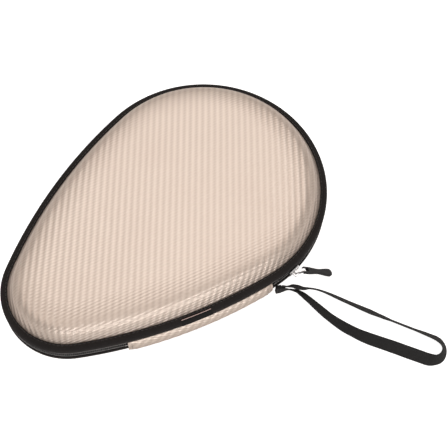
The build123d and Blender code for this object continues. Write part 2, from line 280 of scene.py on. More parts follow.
def repeat_round(bm, arcs, pitch):
    """Copies of the mesh's one shape along the outline's arcs, a pitch apart."""
    geom = bm.verts[:] + bm.edges[:] + bm.faces[:]
    for centre, radius, turn in arcs:
        steps = round(radians(turn) * radius / pitch)
        if steps < 1:
            continue
        geom = bmesh.ops.spin(
            bm, geom=geom, cent=centre, axis=(0, 0, 1), dvec=(0, 0, 0), angle=radians(turn),
            steps=steps, use_merge=False, use_duplicate=True,
        )["geom_last"]


# ---------------------------------------------------------------- material helpers

def add_node(tree, kind, inputs=None, **settings):
    """A node with its settings and the values of its inputs."""
    node = tree.nodes.new(kind)
    for key, value in settings.items():
        setattr(node, key, value)
    for key, value in (inputs or {}).items():
        if isinstance(value, bpy.types.NodeSocket):
            tree.links.new(value, node.inputs[key])
        else:
            node.inputs[key].default_value = value
    return node


def math_node(tree, operation, first, second=0.0, third=0.0):
    """The result of a Math node."""
    node = add_node(tree, "ShaderNodeMath", {0: first, 1: second, 2: third}, operation=operation)
    return node.outputs[0]


def new_group(name, inputs, outputs):
    """An empty node group with named inputs and outputs."""
    group = bpy.data.node_groups.new(name, "ShaderNodeTree")
    for label, kind, value in inputs:
        socket = group.interface.new_socket(name=label, in_out="INPUT", socket_type=kind)
        if value is not None:
            socket.default_value = value
    for label, kind in outputs:
        group.interface.new_socket(name=label, in_out="OUTPUT", socket_type=kind)
    entry = group.nodes.new("NodeGroupInput")
    leave = group.nodes.new("NodeGroupOutput")
    return group, entry.outputs, leave.inputs


def twill_group():
    """Raised ribs with slanting rows between them; X runs along the ribs. Besides the height it gives the
    lit side of each rib and of each slanting row, which the cover paints as shade and highlight.
    """
    group, given, made = new_group(
        "slanting_twill",
        [("Vector", "NodeSocketVector", None), ("Rib", "NodeSocketFloat", 0.005),
         ("Row", "NodeSocketFloat", 0.0026)],
        [("Height", "NodeSocketFloat"), ("Rib Lit Side", "NodeSocketFloat"),
         ("Row Lit Side", "NodeSocketFloat")],
    )
    split = add_node(group, "ShaderNodeSeparateXYZ", {"Vector": given["Vector"]}).outputs
    ribs = math_node(group, "DIVIDE", split["Y"], given["Rib"])
    rows = math_node(group, "DIVIDE", split["X"], given["Row"])
    slant = math_node(group, "ADD", rows, ribs)
    rib_wave = math_node(group, "SINE", math_node(group, "MULTIPLY", ribs, 2 * pi))
    row_wave = math_node(group, "SINE", math_node(group, "MULTIPLY", slant, 2 * pi))
    rib_lit_side = math_node(group, "MULTIPLY_ADD", rib_wave, 0.5, 0.5)
    row_lit_side = math_node(group, "MULTIPLY_ADD", row_wave, 0.5, 0.5)
    height = math_node(group, "MULTIPLY_ADD", row_lit_side, 0.6, rib_lit_side)
    group.links.new(height, made["Height"])
    group.links.new(rib_lit_side, made["Rib Lit Side"])
    group.links.new(row_lit_side, made["Row Lit Side"])
    return group


def weave_group():
    """Plain weave: threads that cross over and under in both directions."""
    group, given, made = new_group(
        "plain_weave",
        [("Vector", "NodeSocketVector", None), ("Pitch", "NodeSocketFloat", 0.0006),
         ("Slant", "NodeSocketFloat", 0.0)],
        [("Height", "NodeSocketFloat"), ("Thread", "NodeSocketFloat")],
    )
    split = add_node(group, "ShaderNodeSeparateXYZ", {"Vector": given["Vector"]}).outputs
    warp = math_node(group, "DIVIDE", split["X"], given["Pitch"])
    weft = math_node(group, "DIVIDE", split["Y"], given["Pitch"])
    slanted = math_node(group, "MULTIPLY_ADD", weft, given["Slant"], warp)
    warp_wave = math_node(group, "SINE", math_node(group, "MULTIPLY", slanted, 2 * pi))
    weft_wave = math_node(group, "SINE", math_node(group, "MULTIPLY", weft, 2 * pi))
    crossing = math_node(group, "MULTIPLY", warp_wave, weft_wave)
    height = math_node(group, "MULTIPLY_ADD", crossing, 0.5, 0.5)
    fuzz = add_node(
        group, "ShaderNodeTexNoise", {"Vector": given["Vector"], "Scale": 2600.0, "Detail": 2.0}
    ).outputs["Fac"]
    group.links.new(math_node(group, "MULTIPLY_ADD", fuzz, 0.35, height), made["Height"])
    group.links.new(height, made["Thread"])
    return group


def patches_group():
    """Soft uneven patches, for handling marks and dye that varies."""
    group, given, made = new_group(
        "uneven_patches",
        [("Vector", "NodeSocketVector", None), ("Scale", "NodeSocketFloat", 18.0),
         ("Low", "NodeSocketFloat", 0.35), ("High", "NodeSocketFloat", 0.68)],
        [("Mask", "NodeSocketFloat"), ("Grain", "NodeSocketFloat")],
    )
    broad = add_node(
        group, "ShaderNodeTexNoise",
        {"Vector": given["Vector"], "Scale": given["Scale"], "Detail": 4.0, "Roughness": 0.6},
    ).outputs["Fac"]
    mask = add_node(
        group, "ShaderNodeMapRange",
        {"Value": broad, "From Min": given["Low"], "From Max": given["High"]},
    ).outputs["Result"]
    grain = add_node(
        group, "ShaderNodeTexNoise",
        {"Vector": given["Vector"], "Scale": 1400.0, "Detail": 3.0, "Roughness": 0.7},
    ).outputs["Fac"]
    group.links.new(mask, made["Mask"])
    group.links.new(grain, made["Grain"])
    return group


TWILL = twill_group()
WEAVE = weave_group()
PATCHES = patches_group()


def new_material(name, **shader):
    """A material with its Principled shader's plain values set."""
    material = bpy.data.materials.new(name)
    material.use_nodes = True
    tree = material.node_tree
    surface = tree.nodes["Principled BSDF"]
    for key, value in shader.items():
        surface.inputs[key.replace("_", " ")].default_value = value
    return material, tree, surface.inputs


def use_group(tree, group, inputs):
    """The outputs of a group placed in a material."""
    node = add_node(tree, "ShaderNodeGroup", node_tree=group)
    for key, value in inputs.items():
        if isinstance(value, bpy.types.NodeSocket):
            tree.links.new(value, node.inputs[key])
        else:
            node.inputs[key].default_value = value
    return node.outputs


def mix_colours(tree, factor, first, second):
    """Two colours mixed by a factor."""
    node = add_node(tree, "ShaderNodeMix", data_type="RGBA")
    for key, value in ((0, factor), (6, first), (7, second)):
        if isinstance(value, bpy.types.NodeSocket):
            tree.links.new(value, node.inputs[key])
        else:
            node.inputs[key].default_value = value
    return node.outputs[2]


def raise_surface(tree, surface, height, depth, strength=1.0):
    """Relief of a given depth in metres on the shader's normal."""
    bump = add_node(
        tree, "ShaderNodeBump", {"Height": height, "Distance": depth, "Strength": strength}
    )
    tree.links.new(bump.outputs["Normal"], surface["Normal"])


def shade(tree, surface, value, low, high):
    """Roughness between two values."""
    made = add_node(tree, "ShaderNodeMapRange", {"Value": value, "To Min": low, "To Max": high})
    tree.links.new(made.outputs["Result"], surface["Roughness"])


def object_place(tree):
    """Place on the piece, in metres."""
    return add_node(tree, "ShaderNodeTexCoord").outputs["Object"]


def uv_place(tree):
    """Place along and across the piece, in metres."""
    return add_node(tree, "ShaderNodeTexCoord").outputs["UV"]


# ---------------------------------------------------------------- materials

RIB_DIRECTION = radians(48.6)


def champagne_cover():
    """Pearly coated sheet embossed with a slanting twill, with painted shade on the half of each rib that
    faces away from the light and a painted highlight along each slanting row.
    """
    material, tree, surface = new_material(
        "embossed_cover", Metallic=0.62, Coat_Roughness=0.22, Specular_IOR_Level=0.5,
    )
    place = uv_place(tree)
    turned = add_node(
        tree, "ShaderNodeMapping", {"Vector": place, "Rotation": (0, 0, -RIB_DIRECTION)}
    ).outputs["Vector"]
    twill = use_group(tree, TWILL, {"Vector": turned, "Rib": 5.0 * MM, "Row": 2.58 * MM})
    patches = use_group(tree, PATCHES, {"Vector": object_place(tree), "Scale": 14.0})
    # painted shade: the half of each rib that faces away from the light is painted darker
    tone = mix_colours(
        tree, twill["Rib Lit Side"], (0.71, 0.59, 0.505, 1), (0.85, 0.73, 0.64, 1)
    )
    # painted highlight along each slanting row of the twill
    rows = math_node(tree, "MULTIPLY", twill["Row Lit Side"], 0.22)
    tone = mix_colours(tree, rows, tone, (0.92, 0.82, 0.74, 1))
    rosy = math_node(tree, "MULTIPLY", patches["Mask"], 0.16)
    tone = mix_colours(tree, rosy, tone, (0.66, 0.51, 0.44, 1))
    tree.links.new(tone, surface["Base Color"])
    shade(tree, surface, patches["Grain"], 0.30, 0.42)
    coat = math_node(tree, "MULTIPLY_ADD", twill["Row Lit Side"], 0.12, 0.02)
    tree.links.new(coat, surface["Coat Weight"])
    height = math_node(tree, "MULTIPLY_ADD", patches["Grain"], 0.12, twill["Height"])
    raise_surface(tree, surface, height, 0.22 * MM)
    return material


def cloth(name, dark, light, pitch, depth, rough=(0.7, 0.9), slant=0.0, sheen=0.1):
    """Woven cloth with threads, fuzz and dye that varies a little."""
    material, tree, surface = new_material(
        name, Sheen_Weight=sheen, Sheen_Roughness=0.5, Specular_IOR_Level=0.25,
    )
    place = uv_place(tree)
    weave = use_group(tree, WEAVE, {"Vector": place, "Pitch": pitch, "Slant": slant})
    patches = use_group(tree, PATCHES, {"Vector": object_place(tree), "Scale": 30.0})
    tone = mix_colours(tree, weave["Thread"], dark, light)
    faded = math_node(tree, "MULTIPLY", patches["Mask"], 0.35)
    tone = mix_colours(tree, faded, tone, light)
    tree.links.new(tone, surface["Base Color"])
    shade(tree, surface, weave["Thread"], rough[1], rough[0])
    raise_surface(tree, surface, weave["Height"], depth)
    return material


def bright_metal():
    """Nickel plate with fine scratches and dulled patches."""
    material, tree, surface = new_material("zip_metal", Metallic=1.0)
    place = object_place(tree)
    patches = use_group(tree, PATCHES, {"Vector": place, "Scale": 320.0})
    tone = mix_colours(tree, patches["Mask"], (0.80, 0.80, 0.82, 1), (0.62, 0.61, 0.60, 1))
    tree.links.new(tone, surface["Base Color"])
    shade(tree, surface, patches["Mask"], 0.16, 0.34)
    raise_surface(tree, surface, patches["Grain"], 0.02 * MM)
    return material


def soft_rubber(name, tone, rough):
    """Moulded rubber with a fine matt grain."""
    material, tree, surface = new_material(name, Specular_IOR_Level=0.45)
    place = object_place(tree)
    patches = use_group(tree, PATCHES, {"Vector": place, "Scale": 90.0})
    worn = tuple(channel * 1.9 for channel in tone) + (1,)
    tree.links.new(mix_colours(tree, patches["Mask"], (*tone, 1), worn), surface["Base Color"])
    shade(tree, surface, patches["Mask"], rough, rough + 0.14)
    raise_surface(tree, surface, patches["Grain"], 0.05 * MM)
    return material


def nylon():
    """Glossy nylon filament."""
    material, tree, surface = new_material("zip_teeth", Coat_Weight=0.3, Coat_Roughness=0.2)
    patches = use_group(tree, PATCHES, {"Vector": object_place(tree), "Scale": 120.0})
    tone = mix_colours(tree, patches["Mask"], (0.05, 0.05, 0.053, 1), (0.16, 0.16, 0.165, 1))
    tree.links.new(tone, surface["Base Color"])
    shade(tree, surface, patches["Grain"], 0.25, 0.45)
    return material


def thread(name, tone):
    """Twisted sewing thread."""
    material, tree, surface = new_material(name, Sheen_Weight=0.3, Roughness=0.6)
    place = object_place(tree)
    wave = add_node(
        tree, "ShaderNodeTexWave", {"Vector": place, "Scale": 900.0, "Distortion": 2.0},
        wave_type="BANDS", bands_direction="DIAGONAL",
    ).outputs["Fac"]
    lit = tuple(min(1, channel * 1.5) for channel in tone) + (1,)
    tree.links.new(mix_colours(tree, wave, (*tone, 1), lit), surface["Base Color"])
    raise_surface(tree, surface, wave, 0.05 * MM)
    return material


COVER = champagne_cover()
BINDING = cloth("binding_tape", (0.006, 0.005, 0.005, 1), (0.022, 0.018, 0.017, 1), 0.62 * MM,
                0.12 * MM, sheen=0.06)
ZIP_CLOTH = cloth("zip_cloth", (0.003, 0.003, 0.003, 1), (0.014, 0.014, 0.015, 1), 0.55 * MM,
                  0.10 * MM, slant=1.0, sheen=0.03)
WEBBING = cloth("strap_webbing", (0.008, 0.008, 0.008, 1), (0.032, 0.032, 0.033, 1), 0.9 * MM,
                0.16 * MM, slant=0.5, sheen=0.05)
LABEL = cloth("label_cloth", (0.004, 0.004, 0.004, 1), (0.016, 0.015, 0.015, 1), 0.35 * MM,
              0.05 * MM, sheen=0.0)
LINING = cloth("lining_cloth", (0.018, 0.018, 0.020, 1), (0.05, 0.05, 0.055, 1), 1.0 * MM,
               0.10 * MM, sheen=0.3)
ELASTIC = cloth("elastic", (0.012, 0.012, 0.013, 1), (0.055, 0.055, 0.058, 1), 1.3 * MM,
                0.22 * MM, sheen=0.1)
METAL = bright_metal()
GRIP = soft_rubber("grip_rubber", (0.014, 0.014, 0.015), 0.42)
FOAM = soft_rubber("moulded_foam", (0.030, 0.030, 0.031), 0.75)
TEETH = nylon()
BLACK_THREAD = thread("black_thread", (0.022, 0.020, 0.020))
GREY_THREAD = thread("grey_thread", (0.34, 0.33, 0.32))
SPINE_THREAD = thread("spine_thread", (0.10, 0.075, 0.06))
PINK_THREAD = thread("pink_thread", (0.72, 0.50, 0.46))


# ---------------------------------------------------------------- camera

def set_camera():
    """The case is seen from over its tail, with the spine towards the viewer."""
    camera = bpy.data.objects.new("camera", bpy.data.cameras.new("camera"))
    bpy.context.scene.collection.objects.link(camera)
    right = Vector((0.750, -0.661, 0.028)).normalized()
    back = Vector((-0.317, -0.321, 0.892))
    back = (back - right * back.dot(right)).normalized()
    turn = Matrix((right, back.cross(right), back)).transposed().to_4x4()
    camera.matrix_world = Matrix.Translation((-0.1972, -0.2710, 0.6833)) @ turn
    camera.data.lens = 73.3
    camera.data.sensor_width = 36
    camera.data.clip_start = 0.01
    bpy.context.scene.camera = camera


set_camera()


# ---------------------------------------------------------------- wrist strap

tack_forward = Vector((0.864, -0.503, 0))
tack_side = Vector((0.503, 0.864, 0))
tack_mouth = Vector((35.89, -103.33, 16.2)) * MM
strap_width = 10 * MM
strap_fabric = 1.0 * MM
strap_exit = tack_mouth + tack_side * 0.55 * MM + Vector((0, 0, 1.6)) * MM
strap_return = tack_mouth - tack_side * 0.55 * MM - Vector((0, 0, 1.6)) * MM

STRAP_ROUTE = [
    strap_exit,
    strap_exit + tack_forward * 6 * MM,
    Vector((47.2, -110.6, 15.2)) * MM,
    Vector((53.4, -114.6, 11.2)) * MM,
    Vector((60.0, -119.8, 7.8)) * MM,
    Vector((65.6, -128.0, 5.6)) * MM,
    Vector((71.2, -140.6, 4.7)) * MM,
    Vector((78.4, -157.0, 4.7)) * MM,
    Vector((86.4, -174.6, 4.8)) * MM,
    Vector((95.0, -192.4, 4.8)) * MM,
    Vector((101.4, -205.4, 5.0)) * MM,
    Vector((105.2, -214.2, 5.2)) * MM,
    Vector((103.2, -221.8, 5.2)) * MM,
    Vector((96.6, -225.4, 4.8)) * MM,
    Vector((89.2, -223.2, 3.6)) * MM,
    Vector((81.8, -208.6, 1.6)) * MM,
    Vector((71.8, -189.0, 1.0)) * MM,
    Vector((63.4, -173.6, 1.1)) * MM,
    Vector((57.2, -158.8, 1.3)) * MM,
    Vector((53.4, -144.6, 2.6)) * MM,
    Vector((51.2, -131.4, 4.9)) * MM,
    Vector((49.4, -121.2, 7.6)) * MM,
    Vector((46.6, -113.2, 11.0)) * MM,
    strap_return + tack_forward * 6 * MM,
    strap_return,
]

# share of the length, and how far the webbing's top edge is lifted from flat, in degrees
STRAP_LEAN = [
    (0.00, 84), (0.022, 62), (0.042, 44), (0.058, 44), (0.078, 60), (0.10, 61), (0.19, 53),
    (0.265, 47), (0.30, 53), (0.33, 60), (0.39, 59), (0.43, 53), (0.46, 48), (0.50, 60),
    (0.53, 55), (0.56, 28), (0.63, 18), (0.70, 8), (0.776, -12), (0.851, -29), (0.926, -41),
    (0.945, -46), (0.965, -58), (1.00, -86),
]


def read_between(table, share):
    """A value between two rows of a table, eased at both ends."""
    for (from_share, first), (to_share, second) in zip(table, table[1:]):
        if share <= to_share:
            part = (share - from_share) / (to_share - from_share)
            return first + (second - first) * part * part * (3 - 2 * part)
    return table[-1][1]


def strap_line():
    """Points down the middle of the strap, from a smooth spline through its route."""
    route = bpy.data.curves.new("strap_route", "CURVE")
    route.dimensions = "3D"
    route.resolution_u = 14
    spline = route.splines.new("NURBS")
    spline.points.add(len(STRAP_ROUTE) - 1)
    for point, place in zip(spline.points, STRAP_ROUTE):
        point.co = (*place, 1)
    spline.order_u = 3
    spline.use_endpoint_u = True
    guide = bpy.data.objects.new("strap_route", route)
    line = bpy.data.meshes.new_from_object(guide)
    points = [vert.co.copy() for vert in line.vertices]
    bpy.data.objects.remove(guide)
    bpy.data.curves.remove(route)
    bpy.data.meshes.remove(line)
    return points


def carry_section(bm, section, frames, shares):
    """A closed section extruded through a row of frames, with UVs in metres."""
    along = bm.verts.layers.float.new("along")
    across = bm.verts.layers.float.new("across")
    verts = []
    for x, y in section:
        vert = bm.verts.new(frames[0] @ Vector((x, y, 0)))
        vert[across] = x
        verts.append(vert)
    edges = [bm.edges.new(pair) for pair in zip(verts, verts[1:] + verts[:1])]
    first = list(edges)
    for before, after, share in zip(frames, frames[1:], shares[1:]):
        made = bmesh.ops.extrude_edge_only(bm, edges=edges)["geom"]
        fresh = {item for item in made if isinstance(item, bmesh.types.BMVert)}
        edges = [
            item for item in made
            if isinstance(item, bmesh.types.BMEdge) and set(item.verts) <= fresh
        ]
        move = after @ before.inverted()
        for vert in fresh:
            vert.co = move @ vert.co
            vert[along] = share
    bmesh.ops.contextual_create(bm, geom=first)
    bmesh.ops.contextual_create(bm, geom=edges)
    uv = bm.loops.layers.uv.new("UVMap")
    for face in bm.faces:
        for loop in face.loops:
            loop[uv].uv = (loop.vert[along], loop.vert[across])


def measure_along(points):
    """Length from the first point to each of the points."""
    lengths = [0.0]
    for before, after in zip(points, points[1:]):
        lengths.append(lengths[-1] + (after - before).length)
    return lengths


def make_strap():
    """One loop of webbing that leaves the tab on edge and comes back lying flat."""
    points = strap_line()
    lengths = measure_along(points)
    for point, length in zip(points, lengths):
        lean = radians(read_between(STRAP_LEAN, length / lengths[-1]))
        lowest = (abs(sin(lean)) * strap_width + cos(lean) * strap_fabric) / 2 + 0.1 * MM
        point.z = max(point.z, lowest)
    lengths = measure_along(points)
    frames = []
    for index, point in enumerate(points):
        ahead = points[min(index + 1, len(points) - 1)]
        behind = points[max(index - 1, 0)]
        way = (ahead - behind).normalized()
        side = way.cross(Vector((0, 0, 1))).normalized()
        lift = side.cross(way)
        lean = radians(read_between(STRAP_LEAN, lengths[index] / lengths[-1]))
        width_way = side * cos(lean) + lift * sin(lean)
        turn = Matrix((width_way, way.cross(width_way), way)).transposed().to_4x4()
        frames.append(Matrix.Translation(point) @ turn)
    half = strap_width / 2
    thin = strap_fabric / 2
    section = [
        (-half, 0), (-half + 0.25 * MM, -thin * 0.8), (-half + 1.2 * MM, -thin), (0, -thin * 0.9),
        (half - 1.2 * MM, -thin), (half - 0.25 * MM, -thin * 0.8), (half, 0),
        (half - 0.25 * MM, thin * 0.8), (half - 1.2 * MM, thin), (0, thin * 0.9),
        (-half + 1.2 * MM, thin), (-half + 0.25 * MM, thin * 0.8),
    ]
    bm = bmesh.new()
    carry_section(bm, section, frames, lengths)
    strap = make_piece(bm, "wrist_strap_webbing", WEBBING)
    settle(strap, "base", "strap_webbing", "wrist_strap")
    print("strap length in mm", round(lengths[-1] / MM, 1))
    return strap


make_strap()


# ---------------------------------------------------------------- covers

def shoulder_profile(foot, crown):
    """Inset and height from the brim up the leaning wall, round the shoulder and onto the face."""
    doming = 0.4 * MM
    reach = cover_height - shoulder - doming
    arc_inset = foot_inset + (reach - brim_foot) * tan(draft) + shoulder / cos(draft)
    profile = [(foot, brim_height), (foot_inset, brim_height)]
    last_turn = radians(79)
    for part in range(11):
        turn = draft + (last_turn - draft) * part / 10
        profile.append((arc_inset - shoulder * cos(turn), reach + shoulder * sin(turn)))
    arc_end, arc_top = profile[-1]
    slope = 1 / tan(last_turn)
    for part in range(1, 7):
        run = crown * part / 6
        profile.append((arc_end + run, arc_top + slope * run * (1 - run / crown / 2)))
    for inset in (36 * MM, flat_inset):
        profile.append((inset, profile[-1][1]))
    return profile


def lay_cover_uv(bm):
    """UV of the flat sheet before it was moulded: the walls are folded out level."""
    uv = bm.loops.layers.uv.new("UVMap")
    across = bm.verts.layers.float["across"]
    full = max(vert[across] for vert in bm.verts)
    for face in bm.faces:
        for loop in face.loops:
            place = loop.vert.co
            if len(face.verts) > 4:
                loop[uv].uv = (place.x, place.y)
                continue
            inset = flat_inset - (full - loop.vert[across])
            loop[uv].uv = unfold(place, inset)


def unfold(place, inset):
    """Where a point of the moulded sheet lies once the sheet is flat again."""
    centre, radius, angle = arc_beside(place)
    flat = about(centre, radius - inset, angle)
    return flat.x, -flat.y if place.y < 0 else flat.y


def make_cover(half, body, side, crown):
    """One embossed cover: brim, wall, shoulder and a face that is slightly domed."""
    profile = shoulder_profile(2.4 * MM, crown)
    bm = full_ring(profile, side, closed=False)
    inner = [edge for edge in bm.edges if edge.is_boundary and abs(edge.verts[0].co.z - mid_height)
             > cover_height - 1 * MM]
    bmesh.ops.contextual_create(bm, geom=inner)
    lay_cover_uv(bm)
    cover = make_piece(bm, f"{half}_cover_sheet", COVER)
    add_thickness(cover, skin, side)
    return settle(cover, body, "embossed_cover", f"{half}_cover")


make_cover("front", "lid", 1, 15 * MM)
make_cover("back", "base", -1, 5.5 * MM)


# ---------------------------------------------------------------- bindings

def binding_profile():
    """Section of the tape folded over the flange, round from its outer lower edge."""
    outside = [
        (0.05, 4.5), (-0.15, 5.2), (-0.22, 6.4), (-0.1, 7.6), (0.35, 8.8), (1.1, 9.7), (2.1, 10.15),
        (3.0, 10.3), (3.9, 10.27), (4.6, 10.12), (5.25, 9.9), (5.62, 9.65), (5.6, 9.3),
    ]
    inside = [
        (5.1, 9.2), (4.0, 9.2), (2.6, 9.2), (1.5, 8.9), (0.95, 8.2), (0.8, 7.0), (0.8, 5.4),
        (0.75, 4.45), (0.4, 4.3),
    ]
    return [(inset * MM, height * MM) for inset, height in outside + inside]


def make_binding(half, body, side):
    """Woven tape bound over the edge of one half."""
    bm = full_ring(binding_profile(), side)
    lay_uv_round(bm)
    piece = make_piece(bm, f"{half}_edge_binding", BINDING)
    return settle(piece, body, "binding_tape", f"{half}_binding")


def make_binding_stitches(half, body, side):
    """The row of stitches that holds the binding, along its inner edge."""
    bm = bmesh.new()
    middle = about(SPINE_CENTRE, flank_radius - 4.4 * MM, hinge_angle, mid_height + side * 10.2 * MM)
    along = about(SPINE_CENTRE, 1, hinge_angle + 90) - SPINE_CENTRE
    add_stitch(bm, middle, along, 2.5 * MM, 0.24 * MM)
    repeat_round(bm, outline_arcs(hinge_angle, hinge_angle), 3.4 * MM)
    piece = make_piece(bm, f"{half}_binding_stitches", BLACK_THREAD)
    return settle(piece, body, "binding_tape")


for half_name, half_body, half_side in (("front", "lid", 1), ("back", "base", -1)):
    make_binding(half_name, half_body, half_side)
    make_binding_stitches(half_name, half_body, half_side)


# ---------------------------------------------------------------- zip

zip_start = spine_start + degrees(0.3 * MM / flank_radius)
zip_end = spine_end - degrees(0.3 * MM / flank_radius)


def make_zip_tape(half, body, side):
    """The zip's woven tape, from the teeth up under the binding."""
    profile = [
        (0.9, 1.9), (0.82, 2.6), (0.85, 4.0), (0.92, 6.0), (1.0, 8.9), (1.5, 8.9), (1.5, 6.0),
        (1.45, 4.0), (1.42, 2.6), (1.5, 1.9),
    ]
    profile = [(inset * MM, height * MM) for inset, height in profile]
    bm = open_ring(profile, zip_start, zip_end, side)
    lay_uv_round(bm)
    piece = make_piece(bm, f"{half}_zip_cloth", ZIP_CLOTH)
    return settle(piece, body, "zip_cloth", f"{half}_zip_tape")


def make_teeth(half, body, side, offset):
    """One row of nylon teeth: short bars that reach across the middle between the other row's."""
    pitch = 1.5 * MM
    start = zip_start + degrees((3.0 * MM + offset * pitch) / flank_radius)
    end = zip_end - degrees((3.0 * MM - offset * pitch) / flank_radius)
    bm = bmesh.new()
    middle = about(SPINE_CENTRE, flank_radius - 0.85 * MM, start, mid_height + side * 1.0 * MM)
    turn = Matrix.Rotation(radians(start), 4, "Z")
    size = Matrix.Diagonal((0.82 * MM, 0.36 * MM, 1.28 * MM, 1))
    bmesh.ops.create_uvsphere(
        bm, u_segments=6, v_segments=5, radius=1, matrix=Matrix.Translation(middle) @ turn @ size
    )
    arcs = outline_arcs(zip_start, end)
    repeat_round(bm, [(SPINE_CENTRE, flank_radius, -head_end - start), *arcs[1:]], pitch)
    piece = make_piece(bm, f"{half}_nylon_teeth", TEETH)
    return settle(piece, body, "zip_teeth", f"{half}_zip_coil")


def make_sewing_line(half, body, side):
    """The thread that holds the teeth to the tape."""
    middle_inset, middle_height, size = 0.72 * MM, 2.65 * MM, 0.2 * MM
    profile = [
        (middle_inset + size * cos(radians(turn)), middle_height + size * sin(radians(turn)))
        for turn in range(0, 360, 60)
    ]
    bm = open_ring(profile, zip_start, zip_end, side)
    piece = make_piece(bm, f"{half}_zip_sewing", GREY_THREAD)
    return settle(piece, body, "zip_cloth")


for half_name, half_body, half_side in (("front", "lid", 1), ("back", "base", -1)):
    make_zip_tape(half_name, half_body, half_side)
    make_teeth(half_name, half_body, half_side, 0.25 + 0.5 * (half_side < 0))
    make_sewing_line(half_name, half_body, half_side)


# ---------------------------------------------------------------- spine

hinge_foot = about(SPINE_CENTRE, flank_radius + hinge_offset, hinge_angle)
BEND_START = Vector((hinge_foot.x, hinge_foot.y, mid_height - 7.5 * MM))
BEND_END = Vector((hinge_foot.x, hinge_foot.y, mid_height + 3.6 * MM))


def spine_bulge(share):
    """How far the panel stands off the binding, from its top edge (0) to its foot (1)."""
    return (0.25 + 3.0 * sin(pi * share) ** 0.75) * MM


def make_spine():
    """The fabric panel sewn over the back binding, its bulge flattened at both ends."""
    rows = 14
    fabric = 1.1 * MM
    outer = []
    inner = []
    for row in range(rows + 1):
        share = row / rows
        height = spine_top - (spine_top + spine_foot) * share
        outer.append((-spine_bulge(share), height))
        inner.append((max(-spine_bulge(share) + fabric, -spine_bulge(share) * 0.2), height))
    bm = flank_strip(outer + inner[::-1], spine_start, spine_end - spine_start)
    squeeze_ends(bm)
    lay_panel_uv(bm)
    piece = make_piece(bm, "spine_cover_panel", COVER)
    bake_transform(piece, "base", "lid", start=BEND_START, end=BEND_END)
    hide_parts("spine_panel")
    return piece


def flank_place(point):
    """Angle in degrees and distance outside the spine's flank."""
    away = Vector((point.x - flank_x, point.y - flank_y))
    return degrees(atan2(away.y, away.x)), away.length - flank_radius


def end_share(angle):
    """0 at either end of the spine, rising to 1 a little way in."""
    from_start = (spine_start - angle) * radians(1) * flank_radius
    from_end = (angle - spine_end) * radians(1) * flank_radius
    share = max(0.0, min(1.0, min(from_start, from_end) / (7 * MM)))
    return share * share * (3 - 2 * share)


def squeeze_ends(bm):
    """Draw the bulge in towards both ends."""
    for vert in bm.verts:
        angle, out = flank_place(vert.co)
        wanted = 0.15 * MM + (out - 0.15 * MM) * (0.62 + 0.38 * end_share(angle))
        ripple = 0.12 * MM * sin(angle * 9.0) * sin(angle * 3.7) if out > 1.5 * MM else 0
        moved = about(SPINE_CENTRE, flank_radius + wanted + ripple, angle, vert.co.z)
        vert.co = moved


def lay_panel_uv(bm):
    """UV of the flat panel: along the flank, and down it."""
    uv = bm.loops.layers.uv.new("UVMap")
    for face in bm.faces:
        for loop in face.loops:
            angle, _ = flank_place(loop.vert.co)
            loop[uv].uv = (radians(angle) * flank_radius, loop.vert.co.z * 1.15)


def make_spine_stitches():
    """Two rows of thread down the panel by the head end, and one by the tail end."""
    bm = bmesh.new()
    for start in (2.2 * MM, 5.0 * MM, spine_length - 2.8 * MM):
        angle = spine_start - degrees(start / flank_radius)
        for row in range(6):
            share = 0.12 + 0.76 * row / 5
            height = spine_top - (spine_top + spine_foot) * share
            out = 0.15 * MM + (spine_bulge(share) - 0.15 * MM) * (0.62 + 0.38 * end_share(angle))
            middle = about(SPINE_CENTRE, flank_radius + out + 0.08 * MM, angle, mid_height + height)
            add_stitch(bm, middle, Vector((0, 0, 1)), 1.9 * MM, 0.2 * MM)
    piece = make_piece(bm, "spine_stitches", SPINE_THREAD)
    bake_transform(piece, "base", "lid", start=BEND_START, end=BEND_END)
    return piece


def make_spine_lining():
    """The strip that covers the joint inside."""
    half = 5.7 * MM
    profile = []
    for row in range(13):
        profile.append((1.6 * MM, -half + 2 * half * row / 12))
    for row in range(13):
        profile.append((2.1 * MM, half - 2 * half * row / 12))
    bm = flank_strip(profile, spine_start, spine_end - spine_start, step=2.5 * MM)
    lay_panel_uv(bm)
    piece = make_piece(bm, "spine_inner_strip", LINING)
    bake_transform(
        piece, "base", "lid",
        start=(hinge_foot.x, hinge_foot.y, mid_height - 4.6 * MM),
        end=(hinge_foot.x, hinge_foot.y, mid_height + 4.6 * MM),
    )
    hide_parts("spine_lining")
    return piece


make_spine()
make_spine_stitches()
make_spine_lining()


# ---------------------------------------------------------------- label

def make_label():
    """A blank woven label on the upper binding, with a pale line along its top."""
    start = -head_end - degrees(55.5 * MM / flank_radius)
    sweep = -degrees(25 * MM / flank_radius)
    profile = [
        (0.1, 4.7), (-0.45, 4.75), (-0.62, 5.4), (-0.68, 6.4), (-0.55, 7.5), (-0.1, 8.9),
        (0.7, 9.95), (1.7, 10.45), (2.4, 10.55), (2.4, 10.0), (1.2, 9.5), (0.5, 8.6), (0.1, 7.5),
        (-0.1, 6.4), (-0.05, 5.4),
    ]
    profile = [(inset * MM, height * MM) for inset, height in profile]
    bm = flank_strip(profile, start, sweep)
    lay_panel_uv(bm)
    piece = make_piece(bm, "blank_label", LABEL)
    settle(piece, "lid", "label_cloth", "woven_label")
    line = [
        ((2.3 + 0.2 * cos(radians(turn))) * MM, (10.6 + 0.2 * sin(radians(turn))) * MM)
        for turn in range(0, 360, 60)
    ]
    bm = flank_strip(line, start - 0.05, sweep + 0.1)
    settle(make_piece(bm, "label_top_line", PINK_THREAD), "lid", "label_cloth")


make_label()


# ---------------------------------------------------------------- strap tab

